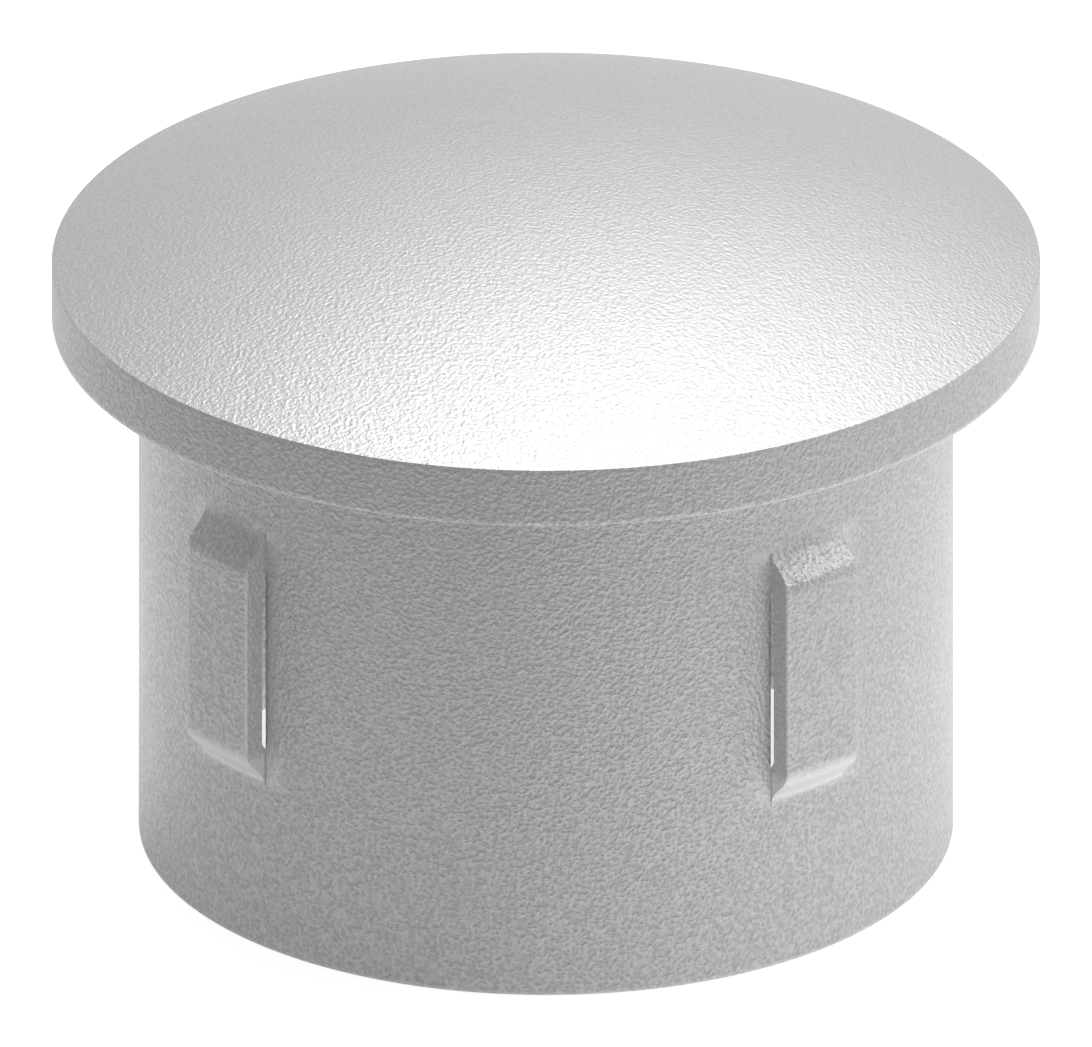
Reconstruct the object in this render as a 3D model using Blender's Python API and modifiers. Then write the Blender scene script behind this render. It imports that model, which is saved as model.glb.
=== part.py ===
"""End cap for a round steel tube, driven into the open end by hand or with a mallet.

One piece of steel: a domed head that covers the tube's end, a thin skirt that goes into the bore, and four
lugs lanced out of the skirt, which grip the bore. The cap stands on its open end, with its axis along Z.
"""

import math

import bmesh
import bpy
from mathutils import Matrix, Vector

MM = 0.001

# The head is as wide as the tube is outside, so that the two finish flush.
HEAD_DIAMETER = 48.3 * MM
RIM_HEIGHT = 3.0 * MM
DOME_RISE = 4.5 * MM
HEAD_THICKNESS = 3.0 * MM
RIM_EDGE_RADIUS = 0.1 * MM

# The skirt slides into the bore.
SKIRT_DIAMETER = 39.8 * MM
SKIRT_LENGTH = 27.3 * MM
SKIRT_WALL = 1.0 * MM
SKIRT_EDGE_RADIUS = 0.15 * MM
SEAT_CORNER_RADIUS = 0.2 * MM
CEILING_CORNER_RADIUS = 1.2 * MM

# Each lug is a strip of the skirt, sheared along both long sides and pressed outwards until it clears the wall.
LUG_COUNT = 4
LUG_WIDTH = 4.5 * MM
LUG_LENGTH = 14.0 * MM
LUG_BELOW_HEAD = 4.7 * MM
LUG_CLEAR_OF_WALL = 0.22 * MM
LUG_RAMP_ANGLE = math.radians(45)
LUG_RAMP_THICKNESS = 1.2 * MM
LUG_OUTER_BEND = 1.2 * MM
LUG_INNER_BEND = 0.5 * MM
LUG_EDGE_RADIUS = 0.14 * MM
SHEAR_GAP = 0.02 * MM

# The lugs' ends are this deep in the wall, so that both surfaces meet at a real angle.
BLEND_DEPTH = 0.02 * MM

TURN_STEPS = 96
DOME_SEGMENTS = 8
CEILING_SEGMENTS = 6
EDGE_SEGMENTS = 2
BEND_SEGMENTS = 4
SMOOTH_ANGLE = math.radians(30)
MERGE_DISTANCE = 0.001 * MM

STEEL_COLOUR = (0.60, 0.60, 0.60, 1.0)
STEEL_ROUGHNESS = 0.42

HEAD_RADIUS = HEAD_DIAMETER / 2
SKIRT_RADIUS = SKIRT_DIAMETER / 2
BORE_RADIUS = SKIRT_RADIUS - SKIRT_WALL
RIM_TOP = SKIRT_LENGTH + RIM_HEIGHT
DOME_TOP = RIM_TOP + DOME_RISE
DOME_RADIUS = (HEAD_RADIUS**2 + DOME_RISE**2) / (2 * DOME_RISE)
CEILING_TOP = DOME_TOP - HEAD_THICKNESS
LUG_RISE = SKIRT_WALL + LUG_CLEAR_OF_WALL
LUG_TOP = SKIRT_LENGTH - LUG_BELOW_HEAD
LUG_MIDDLE = LUG_TOP - LUG_LENGTH / 2


def point(radius, height):
    """A point of a turned profile: its distance from the axis and its height."""
    return Vector((radius, height))


def cap_arc(sphere_radius, top, edge_radius, segments):
    """A sphere's arc from its top, on the axis, out to edge_radius."""
    widest = math.asin(edge_radius / sphere_radius)
    angles = [widest * i / segments for i in range(segments + 1)]
    return [point(sphere_radius * math.sin(a), top - sphere_radius * (1 - math.cos(a))) for a in angles]


def rounded_corner(before, corner, after, radius, segments):
    """The arc that rounds a corner of a profile, tangent to both of its sides."""
    to_before = (before - corner).normalized()
    to_after = (after - corner).normalized()
    half = to_before.angle(to_after) / 2
    centre = corner + (to_before + to_after).normalized() * (radius / math.sin(half))
    reach = radius / math.tan(half)
    start = corner + to_before * reach - centre
    end = corner + to_after * reach - centre
    sweep = start.angle_signed(end)
    turns = [Matrix.Rotation(-sweep * i / segments, 2) for i in range(segments + 1)]
    return [centre + turn @ start for turn in turns]


def rounded_profile(corners):
    """A profile from (point, radius, segments) corners, where a radius of 0 keeps the corner sharp."""
    profile = []
    for i, (corner, radius, segments) in enumerate(corners):
        if radius:
            profile += rounded_corner(corners[i - 1][0], corner, corners[i + 1][0], radius, segments)
        else:
            profile.append(corner)
    return profile


def cap_profile():
    """Half of the cap's section, from the top of the dome down the outside and back up to the ceiling."""
    dome = cap_arc(DOME_RADIUS, DOME_TOP, HEAD_RADIUS, DOME_SEGMENTS)
    ceiling = cap_arc(DOME_RADIUS - HEAD_THICKNESS, CEILING_TOP, BORE_RADIUS, CEILING_SEGMENTS)
    corners = [(p, 0, 0) for p in dome[:-1]]
    corners.append((dome[-1], RIM_EDGE_RADIUS, EDGE_SEGMENTS))
    corners.append((point(HEAD_RADIUS, SKIRT_LENGTH), RIM_EDGE_RADIUS, EDGE_SEGMENTS))
    corners.append((point(SKIRT_RADIUS, SKIRT_LENGTH), SEAT_CORNER_RADIUS, EDGE_SEGMENTS))
    corners.append((point(SKIRT_RADIUS, 0), SKIRT_EDGE_RADIUS, EDGE_SEGMENTS))
    corners.append((point(BORE_RADIUS, 0), SKIRT_EDGE_RADIUS, EDGE_SEGMENTS))
    corners.append((ceiling[-1], CEILING_CORNER_RADIUS, BEND_SEGMENTS))
    corners += [(p, 0, 0) for p in reversed(ceiling[:-1])]
    return rounded_profile(corners)


def lug_face(foot_radius, length, rise, bend):
    """One face of a lug, from its upper foot over both ramps to its lower foot, as corners of a profile."""
    tangent = bend * math.tan(LUG_RAMP_ANGLE / 2)
    ramp = rise / math.tan(LUG_RAMP_ANGLE)
    foot = length / 2 - tangent
    crest = foot - ramp
    end = length / 2 + SKIRT_WALL / 2
    return [
        (point(foot_radius, LUG_MIDDLE + end), 0, 0),
        (point(foot_radius, LUG_MIDDLE + foot), bend, BEND_SEGMENTS),
        (point(foot_radius + rise, LUG_MIDDLE + crest), bend, BEND_SEGMENTS),
        (point(foot_radius + rise, LUG_MIDDLE - crest), bend, BEND_SEGMENTS),
        (point(foot_radius, LUG_MIDDLE - foot), bend, BEND_SEGMENTS),
        (point(foot_radius, LUG_MIDDLE - end), 0, 0),
    ]


def collection(name):
    made = bpy.data.collections.new(name)
    bpy.context.scene.collection.children.link(made)
    return made


def turned(name, profile, home, is_ring):
    """A profile in the XZ plane, turned once round Z. A ring's profile is closed, and clear of the axis."""
    edges = [(i, i + 1) for i in range(len(profile) - 1)]
    if is_ring:
        edges.append((len(profile) - 1, 0))
    mesh = bpy.data.meshes.new(name)
    mesh.from_pydata([(p.x, 0, p.y) for p in profile], edges, [])
    body = bpy.data.objects.new(name, mesh)
    home.objects.link(body)
    screw = body.modifiers.new("turn", "SCREW")
    screw.axis = "Z"
    screw.angle = math.tau
    screw.steps = TURN_STEPS
    screw.render_steps = TURN_STEPS
    screw.use_merge_vertices = True
    screw.merge_threshold = MERGE_DISTANCE
    return body


def lug_windows(name, width, home):
    """Parallel-sided blocks across the wall, one at each lug."""
    blocks = bmesh.new()
    inner = BORE_RADIUS / 2
    outer = HEAD_RADIUS
    for i in range(LUG_COUNT):
        turn = Matrix.Rotation(math.tau * i / LUG_COUNT, 4, "Z")
        place = Matrix.Translation(((inner + outer) / 2, 0, LUG_MIDDLE))
        size = Matrix.Diagonal((outer - inner, width, 2 * LUG_LENGTH, 1))
        bmesh.ops.create_cube(blocks, size=1, matrix=turn @ place @ size)
    mesh = bpy.data.meshes.new(name)
    blocks.to_mesh(mesh)
    blocks.free()
    body = bpy.data.objects.new(name, mesh)
    home.objects.link(body)
    return body


def combine(body, operation, other):
    """Adds a Boolean modifier, and makes the other object a helper that isn't drawn."""
    boolean = body.modifiers.new(other.name, "BOOLEAN")
    boolean.operation = operation
    boolean.solver = "EXACT"
    boolean.object = other
    other.hide_render = True
    other.display_type = "WIRE"


def pressed_out_lugs(home):
    """The lugs' outer form as solid blocks, rooted half-way through the wall."""
    face = lug_face(SKIRT_RADIUS - BLEND_DEPTH, LUG_LENGTH, LUG_RISE + BLEND_DEPTH, LUG_OUTER_BEND)
    root = SKIRT_RADIUS - SKIRT_WALL / 2
    back = [(point(root, corner.y), 0, 0) for corner in (face[-1][0], face[0][0])]
    lugs = turned("lug_forms", rounded_profile(face + back), home, is_ring=True)
    combine(lugs, "INTERSECT", lug_windows("lug_sides", LUG_WIDTH, home))
    bevel = lugs.modifiers.new("edges", "BEVEL")
    bevel.width = LUG_EDGE_RADIUS
    bevel.segments = EDGE_SEGMENTS
    bevel.limit_method = "ANGLE"
    bevel.angle_limit = SMOOTH_ANGLE
    return lugs


def pockets_behind_lugs(home):
    """What the press took out behind each lug: it leaves the crest as thick as the wall, with a slit at each side."""
    ramps = 2 * (LUG_RAMP_THICKNESS - SKIRT_WALL * math.cos(LUG_RAMP_ANGLE)) / math.sin(LUG_RAMP_ANGLE)
    bends = 2 * (LUG_OUTER_BEND - LUG_INNER_BEND) * math.tan(LUG_RAMP_ANGLE / 2)
    length = LUG_LENGTH - ramps - bends
    face = lug_face(BORE_RADIUS - BLEND_DEPTH, length, LUG_RISE + BLEND_DEPTH, LUG_INNER_BEND)
    back_radius = BORE_RADIUS - SKIRT_WALL
    back = [(point(back_radius, corner.y), 0, 0) for corner in (face[-1][0], face[0][0])]
    pockets = turned("lug_pockets", rounded_profile(face + back), home, is_ring=True)
    combine(pockets, "INTERSECT", lug_windows("pocket_sides", LUG_WIDTH + 2 * SHEAR_GAP, home))
    return pockets


def settle(body):
    """Makes the modifiers' result the object's own mesh, smooth between its sharp edges."""
    graph = bpy.context.evaluated_depsgraph_get()
    mesh = bpy.data.meshes.new_from_object(body.evaluated_get(graph))
    mesh.name = body.name
    body.modifiers.clear()
    body.data = mesh
    mesh.shade_smooth()
    mesh.set_sharp_from_angle(angle=SMOOTH_ANGLE)
    normals = body.modifiers.new("large_faces_lead", "WEIGHTED_NORMAL")
    normals.keep_sharp = True


def steel():
    """Bare light-grey steel with a satin cast skin."""
    material = bpy.data.materials.new("satin_steel")
    material.use_nodes = True
    shader = material.node_tree.nodes["Principled BSDF"]
    shader.inputs["Base Color"].default_value = STEEL_COLOUR
    shader.inputs["Metallic"].default_value = 1.0
    shader.inputs["Roughness"].default_value = STEEL_ROUGHNESS
    return material


def build():
    for old in list(bpy.data.objects):
        bpy.data.objects.remove(old)
    parts = collection("tube_end_cap")
    cutters = collection("cutters")
    cap = turned("end_cap", cap_profile(), parts, is_ring=False)
    combine(cap, "UNION", pressed_out_lugs(cutters))
    combine(cap, "DIFFERENCE", pockets_behind_lugs(cutters))
    settle(cap)
    cap.data.materials.append(steel())


build()
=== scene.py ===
import math

import bmesh
import bpy
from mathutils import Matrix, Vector


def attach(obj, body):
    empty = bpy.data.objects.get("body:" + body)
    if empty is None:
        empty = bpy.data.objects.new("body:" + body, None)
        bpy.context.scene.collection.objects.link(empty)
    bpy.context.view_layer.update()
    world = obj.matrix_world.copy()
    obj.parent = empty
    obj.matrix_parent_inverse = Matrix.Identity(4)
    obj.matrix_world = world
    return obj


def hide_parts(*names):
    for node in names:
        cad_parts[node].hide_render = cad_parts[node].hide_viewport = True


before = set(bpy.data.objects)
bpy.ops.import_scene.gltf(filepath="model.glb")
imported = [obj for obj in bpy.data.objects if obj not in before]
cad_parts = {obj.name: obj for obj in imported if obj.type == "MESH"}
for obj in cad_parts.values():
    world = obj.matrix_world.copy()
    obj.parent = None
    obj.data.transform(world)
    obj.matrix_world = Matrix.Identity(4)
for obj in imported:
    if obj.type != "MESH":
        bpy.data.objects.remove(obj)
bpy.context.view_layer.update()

# The head and skirt. The whole cap is one piece of steel: a domed head of even thickness, as wide as the tube is
# outside, and a thin skirt, open below, that slides into the bore. Its section is drawn flat and turned once.

MM = 0.001

HEAD_RADIUS = 24.15 * MM
RIM_HEIGHT = 3.0 * MM
DOME_RISE = 4.5 * MM
HEAD_THICKNESS = 3.0 * MM
SKIRT_RADIUS = 19.9 * MM
SKIRT_WALL = 1.0 * MM
SKIRT_LENGTH = 27.3 * MM

LUG_TOP = 22.6 * MM
LUG_BOTTOM = 8.6 * MM
RAMP_ZONE = 2.7 * MM

BORE_RADIUS = SKIRT_RADIUS - SKIRT_WALL
MIDDLE_OF_WALL = SKIRT_RADIUS - SKIRT_WALL / 2
RIM_TOP = SKIRT_LENGTH + RIM_HEIGHT
DOME_TOP = RIM_TOP + DOME_RISE
DOME_RADIUS = (HEAD_RADIUS**2 + DOME_RISE**2) / (2 * DOME_RISE)

DOME_EDGE_SETBACK = 0.03 * MM
RIM_FOOT_SETBACK = 0.06 * MM
SEAT_CORNER_SETBACK = 0.2 * MM
TOE_SETBACK = 0.15 * MM
CEILING_EDGE_SETBACK = 0.88 * MM
TURN_STEPS = 224
TINY = 0.001 * MM


def arc_from_axis(bm, sphere_radius, top, reach, steps):
    """The sphere's arc from its top on the axis out to reach. Returns its outer end."""
    start = bm.verts.new((0, 0, top))
    swept = bmesh.ops.spin(
        bm, geom=[start], cent=(0, 0, top - sphere_radius), axis=(0, 1, 0), dvec=(0, 0, 0),
        angle=math.asin(reach / sphere_radius), steps=steps,
    )
    return swept["geom_last"][0]


def run(bm, start, radius, height, rows):
    """A straight edge from start to this radius and height, cut into rows. Returns its end."""
    step = (Vector((radius, 0, height)) - start.co) / rows
    swept = bmesh.ops.spin(bm, geom=[start], cent=(0, 0, 0), axis=(0, 0, 1), dvec=step, angle=0, steps=rows)
    return swept["geom_last"][0]


def soften(bm, corners, setback, steps):
    """Rounds corners of the drawn section, with arcs that start this far back from them."""
    bmesh.ops.bevel(
        bm, geom=corners, offset=setback, offset_type="OFFSET", segments=steps, profile=0.5,
        affect="VERTICES", clamp_overlap=False, material=-1,
    )


cap = bmesh.new()
rim_edge = arc_from_axis(cap, DOME_RADIUS, DOME_TOP, HEAD_RADIUS, steps=32)
rim_foot = run(cap, rim_edge, HEAD_RADIUS, SKIRT_LENGTH, rows=6)
seat_corner = run(cap, rim_foot, SKIRT_RADIUS, SKIRT_LENGTH, rows=6)
ceiling_edge = arc_from_axis(cap, DOME_RADIUS - HEAD_THICKNESS, DOME_TOP - HEAD_THICKNESS, BORE_RADIUS, steps=20)
toes = []
for start, radius in ((seat_corner, SKIRT_RADIUS), (ceiling_edge, BORE_RADIUS)):
    lug_head = run(cap, start, radius, LUG_TOP, rows=6)
    crest_top = run(cap, lug_head, radius, LUG_TOP - RAMP_ZONE, rows=24)
    crest_bottom = run(cap, crest_top, radius, LUG_BOTTOM + RAMP_ZONE, rows=6)
    lug_foot = run(cap, crest_bottom, radius, LUG_BOTTOM, rows=24)
    toe = run(cap, lug_foot, radius, 0, rows=8)
    run(cap, toe, MIDDLE_OF_WALL, 0, rows=1)
    toes.append(toe)
soften(cap, [rim_edge], DOME_EDGE_SETBACK, steps=2)
soften(cap, [rim_foot], RIM_FOOT_SETBACK, steps=3)
soften(cap, [seat_corner], SEAT_CORNER_SETBACK, steps=4)
soften(cap, toes, TOE_SETBACK, steps=4)
soften(cap, [ceiling_edge], CEILING_EDGE_SETBACK, steps=8)
bmesh.ops.spin(
    cap, geom=cap.verts[:] + cap.edges[:], cent=(0, 0, 0), axis=(0, 0, 1), dvec=(0, 0, 0),
    angle=math.tau, steps=TURN_STEPS, use_merge=True,
)
bmesh.ops.remove_doubles(cap, verts=cap.verts[:], dist=TINY)
bmesh.ops.recalc_face_normals(cap, faces=cap.faces[:])


# The lugs. Four strips of the skirt's own wall, sheared along both long sides and pressed out past it, still joined to
# it at both ends. They spring against the tube's bore and hold the cap there. A slit stays open at each side of a lug.

LUG_COUNT = 4
LUG_HALF_WIDTH = 2.25 * MM
LUG_RISE = SKIRT_WALL + 0.22 * MM
LUG_MIDDLE = (LUG_TOP + LUG_BOTTOM) / 2
LUG_LENGTH = LUG_TOP - LUG_BOTTOM
INNER_LUG_LENGTH = 12.03 * MM
RAMP_ANGLE = math.radians(45)
OUTER_BEND = 1.2 * MM
INNER_BEND = 0.5 * MM
SHEAR_GAP = 0.005 * MM
LUG_EDGE_SETBACK = 0.06 * MM
EDGE_ROUNDED_ABOVE = 4 * LUG_EDGE_SETBACK
LUG_SIDE_STEPS = 4
SIDE_ANGLE = LUG_SIDE_STEPS * math.tau / TURN_STEPS
ANGLE_SLACK = 0.001 * SIDE_ANGLE
AXIS_ZONE = MM
FLAT_TURN = math.radians(5)
CORNER_TURN = math.radians(40)
BROAD_TO_NARROW = 4


def from_lug(spot):
    """The angle of a point round the axis, from the middle of the nearest lug, and that lug's own angle."""
    angle = math.atan2(spot.y, spot.x)
    lug = round(angle / (math.tau / LUG_COUNT)) * math.tau / LUG_COUNT
    return angle - lug, lug


def pressed(height, length, bend):
    """How far the strip stands out at this height: a flat crest, two ramps, and a bend where they turn."""
    tangent = bend * math.tan(RAMP_ANGLE / 2)
    reach = bend * math.sin(RAMP_ANGLE)
    crest_end = length / 2 - LUG_RISE / math.tan(RAMP_ANGLE) - 2 * tangent
    past_crest = abs(height - LUG_MIDDLE) - crest_end
    before_foot = length / 2 - abs(height - LUG_MIDDLE)
    if past_crest <= 0:
        return LUG_RISE
    if before_foot <= 0:
        return 0
    if past_crest < reach:
        return LUG_RISE - bend + math.sqrt(bend**2 - past_crest**2)
    if before_foot < reach:
        return bend - math.sqrt(bend**2 - before_foot**2)
    return (before_foot - tangent) * math.tan(RAMP_ANGLE)


def is_strip(face):
    """Whether a face of the wall belongs to a lug's strip."""
    spot = face.calc_center_median()
    off, _ = from_lug(spot)
    return abs(off) < SIDE_ANGLE and LUG_BOTTOM < spot.z < LUG_TOP


def is_shear_line(edge):
    """Whether an edge runs up a lug's long side."""
    low, high = sorted(edge.verts, key=lambda vert: vert.co.z)
    off, _ = from_lug(low.co)
    upright = high.co.z - low.co.z > TINY
    middle = (low.co.z + high.co.z) / 2
    return upright and abs(abs(off) - SIDE_ANGLE) < ANGLE_SLACK and LUG_BOTTOM < middle < LUG_TOP


strip_faces = {face for face in cap.faces if is_strip(face)}
bmesh.ops.split_edges(cap, edges=[edge for edge in cap.edges if is_shear_line(edge)])
strips = {vert for face in strip_faces for vert in face.verts}
outsides = {vert for vert in strips if Vector(vert.co.xy).length > MIDDLE_OF_WALL}
rises = {}
for vert in strips:
    length, bend = (LUG_LENGTH, OUTER_BEND) if vert in outsides else (INNER_LUG_LENGTH, INNER_BEND)
    rises[vert] = pressed(vert.co.z, length, bend)
    vert.co.xy *= 1 + rises[vert] / Vector(vert.co.xy).length

# The shears cut straight, so a lug's two sides are parallel planes, and the mesh round them closes up to suit. Next to
# the axis it stays as it is.
for vert in cap.verts:
    radius = Vector(vert.co.xy).length
    if radius < AXIS_ZONE:
        continue
    off, lug = from_lug(vert.co)
    half_width = LUG_HALF_WIDTH if vert in strips else LUG_HALF_WIDTH + SHEAR_GAP
    side = math.asin(half_width / min(max(radius, BORE_RADIUS), SKIRT_RADIUS + LUG_RISE))
    if abs(off) <= SIDE_ANGLE + ANGLE_SLACK:
        turned = math.asin(math.sin(side) * off / SIDE_ANGLE)
    else:
        between = math.pi / LUG_COUNT
        share = (between - abs(off)) / (between - SIDE_ANGLE)
        turned = math.copysign(between - (between - side) * share, off)
    vert.co.x = radius * math.cos(lug + turned)
    vert.co.y = radius * math.sin(lug + turned)

cut_walls = {}
for edge in [edge for edge in cap.edges if edge.is_boundary]:
    off, lug = from_lug((edge.verts[0].co + edge.verts[1].co) / 2)
    of_strip = edge.link_faces[0] in strip_faces
    cut_walls.setdefault((round(lug, 2), off > 0, of_strip), []).append(edge)
for edges in cut_walls.values():
    bmesh.ops.bridge_loops(cap, edges=edges)
lug_edges = [
    edge
    for (_, _, of_strip), edges in cut_walls.items()
    for edge in edges
    if of_strip and all(vert in outsides and rises[vert] > EDGE_ROUNDED_ABOVE for vert in edge.verts)
]
bmesh.ops.bevel(
    cap, geom=lug_edges, offset=LUG_EDGE_SETBACK, offset_type="OFFSET", segments=3, profile=0.5,
    affect="EDGES", clamp_overlap=False, material=-1,
)
bmesh.ops.recalc_face_normals(cap, faces=cap.faces[:])

# Faces meet smoothly, apart from real corners. A narrow rounding is creased off from a broad face, to keep it even.
for face in cap.faces:
    face.smooth = True
for edge in cap.edges:
    narrow, broad = sorted(face.calc_area() for face in edge.link_faces)
    turn = edge.calc_face_angle()
    edge.smooth = turn < FLAT_TURN or (turn < CORNER_TURN and broad < BROAD_TO_NARROW * narrow)

mesh = bpy.data.meshes.new("cap")
cap.to_mesh(mesh)
cap.free()
piece = bpy.data.objects.new("cap", mesh)
bpy.context.scene.collection.objects.link(piece)
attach(piece, "root")
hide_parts("end_cap")


# The steel's finish. The cap is left bare and satin, with a fine wrinkled skin all over, deepest low on the skirt. Its
# hollows are duller, and painted darker as shade that deepens the wrinkles. Outer edges are worn brighter, and the
# rim's lower edge also carries a painted highlight. The ramps that lead the lugs into a tube carry the strongest
# painted light, a reflection of the pale floor, and the lugs' sheared sides and the wall beside them are painted
# lighter over their shade. The bore, the lugs' sheared sides and the wall that the press held down beside them are
# smoother.

STEEL = (0.63, 0.63, 0.63, 1)
# Painted shade: a darker tone laid into the skin's hollows, and below, how much of it.
STEEL_SHADED_IN_HOLLOWS = (0.48, 0.48, 0.48, 1)
# A lighter tone for worn edges, and for painted light on the rim's lower edge, the lead-in ramps and the lugs' sides.
STEEL_WORN_AND_LIT = (0.88, 0.88, 0.88, 1)
HOLLOW_SHADE = 0.4

WRINKLE_SIZE = 0.21 * MM
GRAIN_SIZE = 0.1 * MM
GRAIN_SHARE = 0.15
CLOUD_SIZE = 6 * MM
SKIN_DEPTH = 0.055 * MM
DEEPER_ON_SIDES = 0.55
DEEPER_AT_TOE = 0.6
SMOOTHED = 0.6
SMOOTHED_RAMP = 0.5

# Edge wear, and painted light: a highlight on the rim's lower edge, and light over the shade on the lugs' sides and
# beside them.
WORN_AND_LIT_WIDTH = 0.3 * MM
RUBBED_EDGE = 0.4
RIM_PAINTED_HIGHLIGHT = 0.55
LUG_EDGE_SHARE = 0.4
PAINTED_LIGHT_ON_SIDES = 0.3
PAINTED_LIGHT_BESIDE_LUGS = 0.25

DULLNESS = 0.43
DULLER_IN_HOLLOWS = 0.06
DULLER_IN_CLOUDS = 0.08
DULLER_ON_LEAD_IN = 0.15
SHINIER_ON_EDGES = 0.05


class Signal:
    """A value in a material's nodes. Sums on it are written as sums, and become Math nodes."""

    def __init__(self, tree, socket=None):
        self.tree = tree
        self.socket = socket

    def node(self, kind, settings, sockets, output=0):
        """Any node, from its kind, its settings, which are set first, and its sockets' values or links."""
        made = self.tree.nodes.new(kind)
        for name, value in settings.items():
            setattr(made, name, value)
        for name, value in sockets.items():
            if isinstance(value, Signal):
                self.tree.links.new(value.socket, made.inputs[name])
            else:
                made.inputs[name].default_value = value
        return Signal(self.tree, made.outputs[output])

    def maths(self, operation, *terms):
        return self.node("ShaderNodeMath", {"operation": operation}, dict(enumerate(terms)))

    def most(self, *others):
        """The largest of this value and the others."""
        largest = self
        for other in others:
            largest = self.maths("MAXIMUM", largest, other)
        return largest

    def fade(self, low, high):
        """0 up to low and 1 from high on, with a soft step between."""
        sockets = {"Value": self, "From Min": low, "From Max": high}
        return self.node("ShaderNodeMapRange", {"interpolation_type": "SMOOTHSTEP"}, sockets)

    def __abs__(self):
        return self.maths("ABSOLUTE", self)

    def __add__(self, other):
        return self.maths("ADD", self, other)

    def __radd__(self, other):
        return self.maths("ADD", other, self)

    def __sub__(self, other):
        return self.maths("SUBTRACT", self, other)

    def __rsub__(self, other):
        return self.maths("SUBTRACT", other, self)

    def __mul__(self, other):
        return self.maths("MULTIPLY", self, other)

    def __rmul__(self, other):
        return self.maths("MULTIPLY", other, self)


steel = bpy.data.materials.new("satin_steel")
steel.use_nodes = True
nodes = Signal(steel.node_tree)
place = nodes.node("ShaderNodeTexCoord", {}, {}, "Object")
across = nodes.node("ShaderNodeSeparateXYZ", {}, {"Vector": place}, "X")
along = nodes.node("ShaderNodeSeparateXYZ", {}, {"Vector": place}, "Y")
height = nodes.node("ShaderNodeSeparateXYZ", {}, {"Vector": place}, "Z")
radius = nodes.maths("SQRT", across * across + along * along)


def lumps(size, detail, twist):
    """Random lumps of about this size, from 0 in their hollows to 1 on their tops."""
    sockets = {"Vector": place, "Scale": 1 / size, "Detail": detail, "Roughness": 0.5, "Distortion": twist}
    return nodes.node("ShaderNodeTexNoise", {}, sockets, "Fac")


def near_edge(out, up):
    """1 on an edge, given how far out and up from it a point is, and 0 past the width that is worn and lit."""
    return 1 - nodes.maths("SQRT", out * out + up * up).fade(0.2 * WORN_AND_LIT_WIDTH, WORN_AND_LIT_WIDTH)


wrinkles = lumps(WRINKLE_SIZE, 1.0, 0.0)
grain = lumps(GRAIN_SIZE, 1.0, 0.0)
clouds = lumps(CLOUD_SIZE, 3.0, 0.3)
hollows = 1 - wrinkles.fade(0.3, 0.7)

# Where a point is: how far out from the skirt and the bore, and how far from the nearest lug's side and its ends.
past_skirt = radius - SKIRT_RADIUS
past_bore = radius - BORE_RADIUS
from_lug_side = nodes.maths("MINIMUM", abs(across), abs(along)) - LUG_HALF_WIDTH
from_lug_end = LUG_LENGTH / 2 - abs(height - LUG_MIDDLE)

# The rim's lower edge: worn like the other edges, and given a painted highlight of its own as well.
rim_wear_and_highlight = near_edge(radius - HEAD_RADIUS, height - SKIRT_LENGTH)
toe_rub = near_edge(past_skirt, height)
stands_out = past_skirt.fade(0.5 * LUG_RISE, LUG_RISE) * (1 - height.fade(LUG_TOP, LUG_TOP + MM))
lug_rub = LUG_EDGE_SHARE * near_edge(from_lug_side, 0) * stands_out
edge_rub = rim_wear_and_highlight.most(toe_rub, lug_rub) * clouds.fade(0.15, 0.5)

# The lower ramps, which lead the lugs into a tube. Their lighter colour is a painted reflection of the pale floor;
# they are also smoother and duller.
by_end = from_lug_end.fade(-0.2 * MM, 0.2 * MM) * (1 - from_lug_end.fade(1.5 * MM, 2.5 * MM))
on_ramp = by_end * past_skirt.fade(0, 0.12 * MM)
lead_in_painted_light = on_ramp * (1 - height.fade(LUG_MIDDLE - MM, LUG_MIDDLE))

# The lugs' sheared sides and the wall beside them are smoother, and painted lighter over the shade that falls there.
on_side = 1 - abs(from_lug_side).fade(0.03 * MM, 0.08 * MM)
sheared = on_side * from_lug_end.fade(0, 0.5 * MM) * past_bore.fade(-0.1 * MM, 0)
on_wall = past_bore.fade(-0.1 * MM, 0) * (1 - past_skirt.fade(0.05 * MM, 0.2 * MM))
beside_lug = 1 - abs(from_lug_side).fade(0.2 * MM, 1.8 * MM)
pressed_flat = on_wall * beside_lug * from_lug_end.fade(-0.3 * MM, 0.5 * MM)
in_bore = (1 - (radius - MIDDLE_OF_WALL).fade(-0.1 * MM, 0.1 * MM)) * (1 - height.fade(SKIRT_LENGTH, RIM_TOP))

on_sides = 1 - height.fade(RIM_TOP - 0.3 * MM, RIM_TOP)
depth = 1 + DEEPER_ON_SIDES * on_sides + DEEPER_AT_TOE * (1 - height.fade(0, SKIRT_LENGTH))
smoother = (SMOOTHED_RAMP * (on_ramp + lead_in_painted_light)).most(sheared, in_bore, pressed_flat)
relief = (wrinkles + GRAIN_SHARE * grain) * depth * (1 - SMOOTHED * smoother)
skin = nodes.node("ShaderNodeBump", {}, {"Height": relief, "Distance": SKIN_DEPTH})

# Worn edges, with painted light laid over them: a highlight on the rim's lower edge, a reflection on the lead-in
# ramps, and light over the shade on and beside the lugs' sides.
worn_and_painted_light = lead_in_painted_light.most(
    RUBBED_EDGE * edge_rub, RIM_PAINTED_HIGHLIGHT * rim_wear_and_highlight, PAINTED_LIGHT_ON_SIDES * sheared, PAINTED_LIGHT_BESIDE_LUGS * pressed_flat,
)
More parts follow.
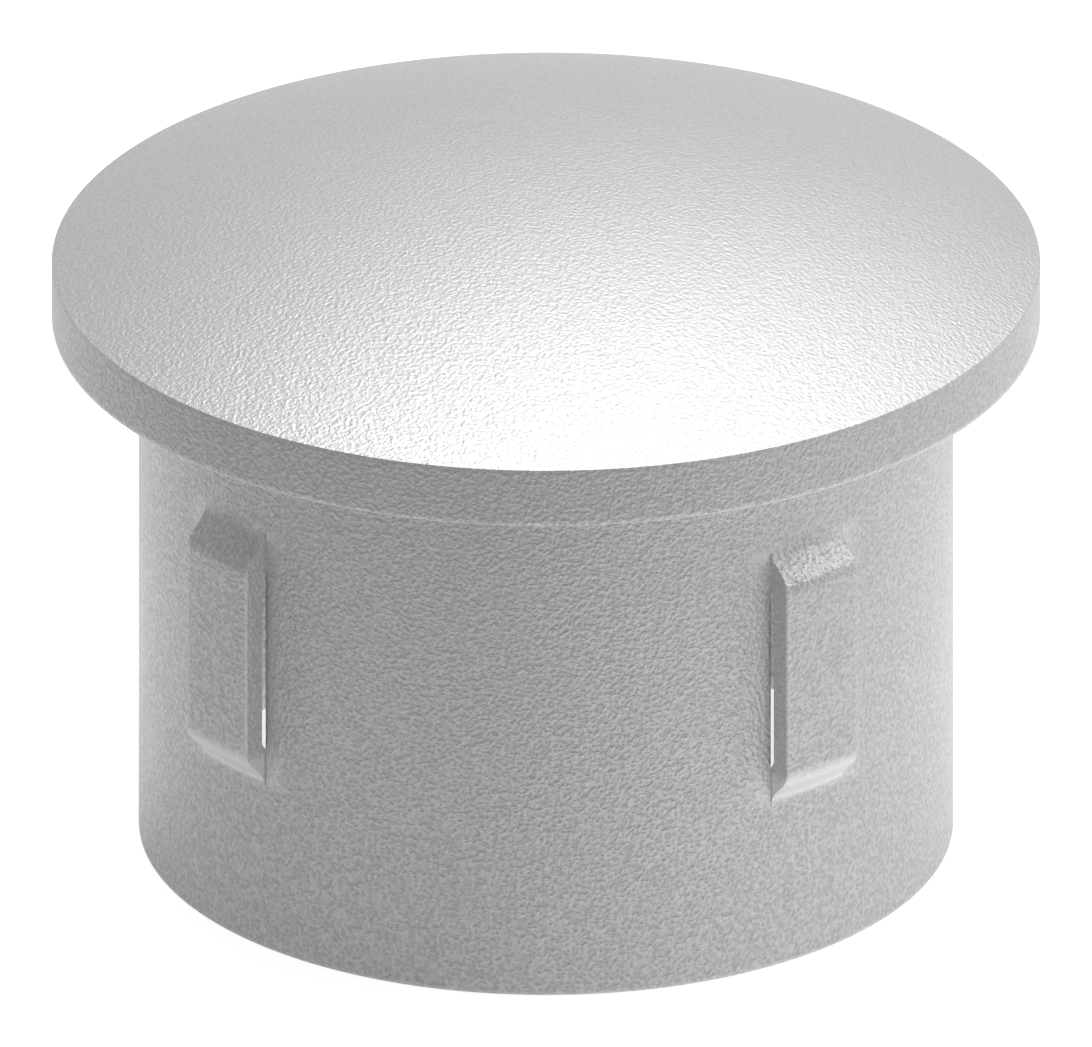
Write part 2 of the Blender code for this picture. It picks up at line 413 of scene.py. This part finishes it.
# The skin's hollows are painted darker: painted shade that deepens the wrinkles, most where the skin is deepest.
painted_shade_in_hollows = HOLLOW_SHADE * hollows * depth
steel_with_hollow_shade = nodes.node("ShaderNodeMix", {"data_type": "RGBA"}, {0: painted_shade_in_hollows, 6: STEEL, 7: STEEL_SHADED_IN_HOLLOWS}, 2)
colour = nodes.node("ShaderNodeMix", {"data_type": "RGBA"}, {0: worn_and_painted_light, 6: steel_with_hollow_shade, 7: STEEL_WORN_AND_LIT}, 2)
duller = DULLER_IN_HOLLOWS * hollows + DULLER_IN_CLOUDS * (clouds - 0.5) + DULLER_ON_LEAD_IN * lead_in_painted_light
dullness = DULLNESS + duller - SHINIER_ON_EDGES * edge_rub

shader = steel.node_tree.nodes["Principled BSDF"]
shader.inputs["Metallic"].default_value = 1
steel.node_tree.links.new(colour.socket, shader.inputs["Base Color"])
steel.node_tree.links.new(dullness.socket, shader.inputs["Roughness"])
steel.node_tree.links.new(skin.socket, shader.inputs["Normal"])
mesh.materials.append(steel)


# The floor. A plain table of white card, wide enough for every view, that takes the cap's soft shadow. It glows evenly
# white to the camera. In the steel it shows a painted reflection: a glow that is darker on the camera's side and
# lighter behind the cap and on its right, and a painted glow under the cap, in its shadow, brighter towards its left.

CAMERA_AZIMUTH = 50
FLOOR_HALF_WIDTH = 2
FLOOR_GREY = (0.4, 0.4, 0.4, 1)
FLOOR_GLOW = 0.82

GLOW_NEAR_CAP = 0.46
GLOW_FADES_FROM = 25 * MM
GLOW_FADES_TO = 110 * MM
DIMMER_IN_FRONT = 0.18
FRONT_AZIMUTH = CAMERA_AZIMUTH - 40
GLOW_BEHIND = 0.55
GLOW_ON_RIGHT = 0.25
GLOW_SHIFT = 7 * MM
SHIFT_AZIMUTH = CAMERA_AZIMUTH - 56
GLOW_INSIDE_CAP = 0.5
GLOW_INSIDE_ON_LEFT = 0.5
LEFT_AZIMUTH = CAMERA_AZIMUTH + 240


def way(azimuth, elevation):
    """The direction from the cap to a place round it: 0 is in front, along -Y, and 90 on the right, along +X."""
    turn, lift = math.radians(azimuth), math.radians(elevation)
    return Vector((math.sin(turn) * math.cos(lift), -math.cos(turn) * math.cos(lift), math.sin(lift)))


card_sheet = bmesh.new()
bmesh.ops.create_grid(card_sheet, x_segments=1, y_segments=1, size=FLOOR_HALF_WIDTH)
floor_mesh = bpy.data.meshes.new("floor")
card_sheet.to_mesh(floor_mesh)
card_sheet.free()
floor = bpy.data.objects.new("floor", floor_mesh)
bpy.context.scene.collection.objects.link(floor)

card = bpy.data.materials.new("white_card")
card.use_nodes = True
card_nodes = Signal(card.node_tree)
by_camera = card_nodes.node("ShaderNodeLightPath", {}, {}, "Is Camera Ray")
in_metal = card_nodes.node("ShaderNodeLightPath", {}, {}, "Is Glossy Ray")
in_glass = card_nodes.node("ShaderNodeLightPath", {}, {}, "Is Transmission Ray")
spot = card_nodes.node("ShaderNodeTexCoord", {}, {}, "Object")
from_cap = card_nodes.node("ShaderNodeVectorMath", {"operation": "LENGTH"}, {0: spot}, "Value")
middle_of_glow = GLOW_SHIFT * way(SHIFT_AZIMUTH, 0)
off_middle = card_nodes.node("ShaderNodeVectorMath", {"operation": "SUBTRACT"}, {0: spot, 1: middle_of_glow}, "Vector")
outward = card_nodes.node("ShaderNodeVectorMath", {"operation": "NORMALIZE"}, {0: off_middle}, "Vector")


def towards(azimuth):
    """How far a place on the floor lies on this side of the glow's middle: 1 there, and 0 from a quarter turn off."""
    sockets = {0: outward, 1: way(azimuth, 0)}
    share = card_nodes.node("ShaderNodeVectorMath", {"operation": "DOT_PRODUCT"}, sockets, "Value")
    return share.most(0)


fading = 1 - from_cap.fade(GLOW_FADES_FROM, GLOW_FADES_TO)
near = GLOW_NEAR_CAP * fading * (1 - DIMMER_IN_FRONT * towards(FRONT_AZIMUTH))
behind = GLOW_BEHIND * towards(CAMERA_AZIMUTH + 180)
right = GLOW_ON_RIGHT * towards(CAMERA_AZIMUTH + 90)
inside = GLOW_INSIDE_CAP + GLOW_INSIDE_ON_LEFT * towards(LEFT_AZIMUTH)
outside = from_cap.fade(BORE_RADIUS - MM, BORE_RADIUS)
pool = (near + behind + right) * outside + inside * (1 - outside)
glow = FLOOR_GLOW * by_camera + pool * in_metal.most(in_glass)
card_shader = card.node_tree.nodes["Principled BSDF"]
card_shader.inputs["Base Color"].default_value = FLOOR_GREY
card_shader.inputs["Roughness"].default_value = 1
card_shader.inputs["Emission Strength"].default_value = 1
card.node_tree.links.new(glow.socket, card_shader.inputs["Emission Color"])
floor_mesh.materials.append(card)


# The studio light. Four round soft boxes on stands, one over the cap, one high behind it and two on its right, in a
# pale room that is brightest behind the cap.

LAMP_DISTANCE = 0.5
ROOM = 0.38
ROOM_BRIGHTER_BEHIND = 0.38


def soft_box(name, azimuth, elevation, width, strength):
    """A round lamp that faces the cap. Its strength is how bright its face is, where 1 is white."""
    lamp = bpy.data.lights.new(name, "AREA")
    lamp.shape = "DISK"
    lamp.size = width
    lamp.energy = strength * math.pi * math.pi * (width / 2)**2
    stand = bpy.data.objects.new(name, lamp)
    bpy.context.scene.collection.objects.link(stand)
    stand.location = way(azimuth, elevation) * LAMP_DISTANCE
    stand.rotation_euler = way(azimuth, elevation).to_track_quat("Z", "Y").to_euler()


soft_box("above", azimuth=230, elevation=88, width=0.4, strength=2.55)
soft_box("above_behind", azimuth=205, elevation=60, width=0.4, strength=1.07)
soft_box("right", azimuth=140, elevation=45, width=0.3, strength=2.6)
soft_box("right_low", azimuth=140, elevation=12, width=0.3, strength=0.71)

world = bpy.data.worlds.new("studio")
bpy.context.scene.world = world
world.use_nodes = True
room = Signal(world.node_tree)
facing = room.node("ShaderNodeTexCoord", {}, {}, "Generated")
far_wall = room.node(
    "ShaderNodeVectorMath", {"operation": "DOT_PRODUCT"}, {0: facing, 1: way(CAMERA_AZIMUTH + 180, 0)}, "Value",
)
brightness = ROOM + ROOM_BRIGHTER_BEHIND * far_wall.most(0)
background = world.node_tree.nodes["Background"]
background.inputs["Strength"].default_value = 1
world.node_tree.links.new(brightness.socket, background.inputs["Color"])


# The camera. It looks down on the cap from the photograph's angle, and sees no perspective, as the photograph shows
# none. The picture's width and the height that it aims at are the photograph's too.

CAMERA_ELEVATION = 25.05
CAMERA_DISTANCE = 0.4
PICTURE_WIDTH = 53.35 * MM
AIM_HEIGHT = 16.18 * MM

eye = bpy.data.cameras.new("camera")
eye.type = "ORTHO"
eye.ortho_scale = PICTURE_WIDTH
camera = bpy.data.objects.new("camera", eye)
bpy.context.scene.collection.objects.link(camera)
view = way(CAMERA_AZIMUTH, CAMERA_ELEVATION)
camera.location = Vector((0, 0, AIM_HEIGHT)) + view * CAMERA_DISTANCE
camera.rotation_euler = view.to_track_quat("Z", "Y").to_euler()
bpy.context.scene.camera = camera
bpy.context.scene.view_settings.view_transform = "Standard"
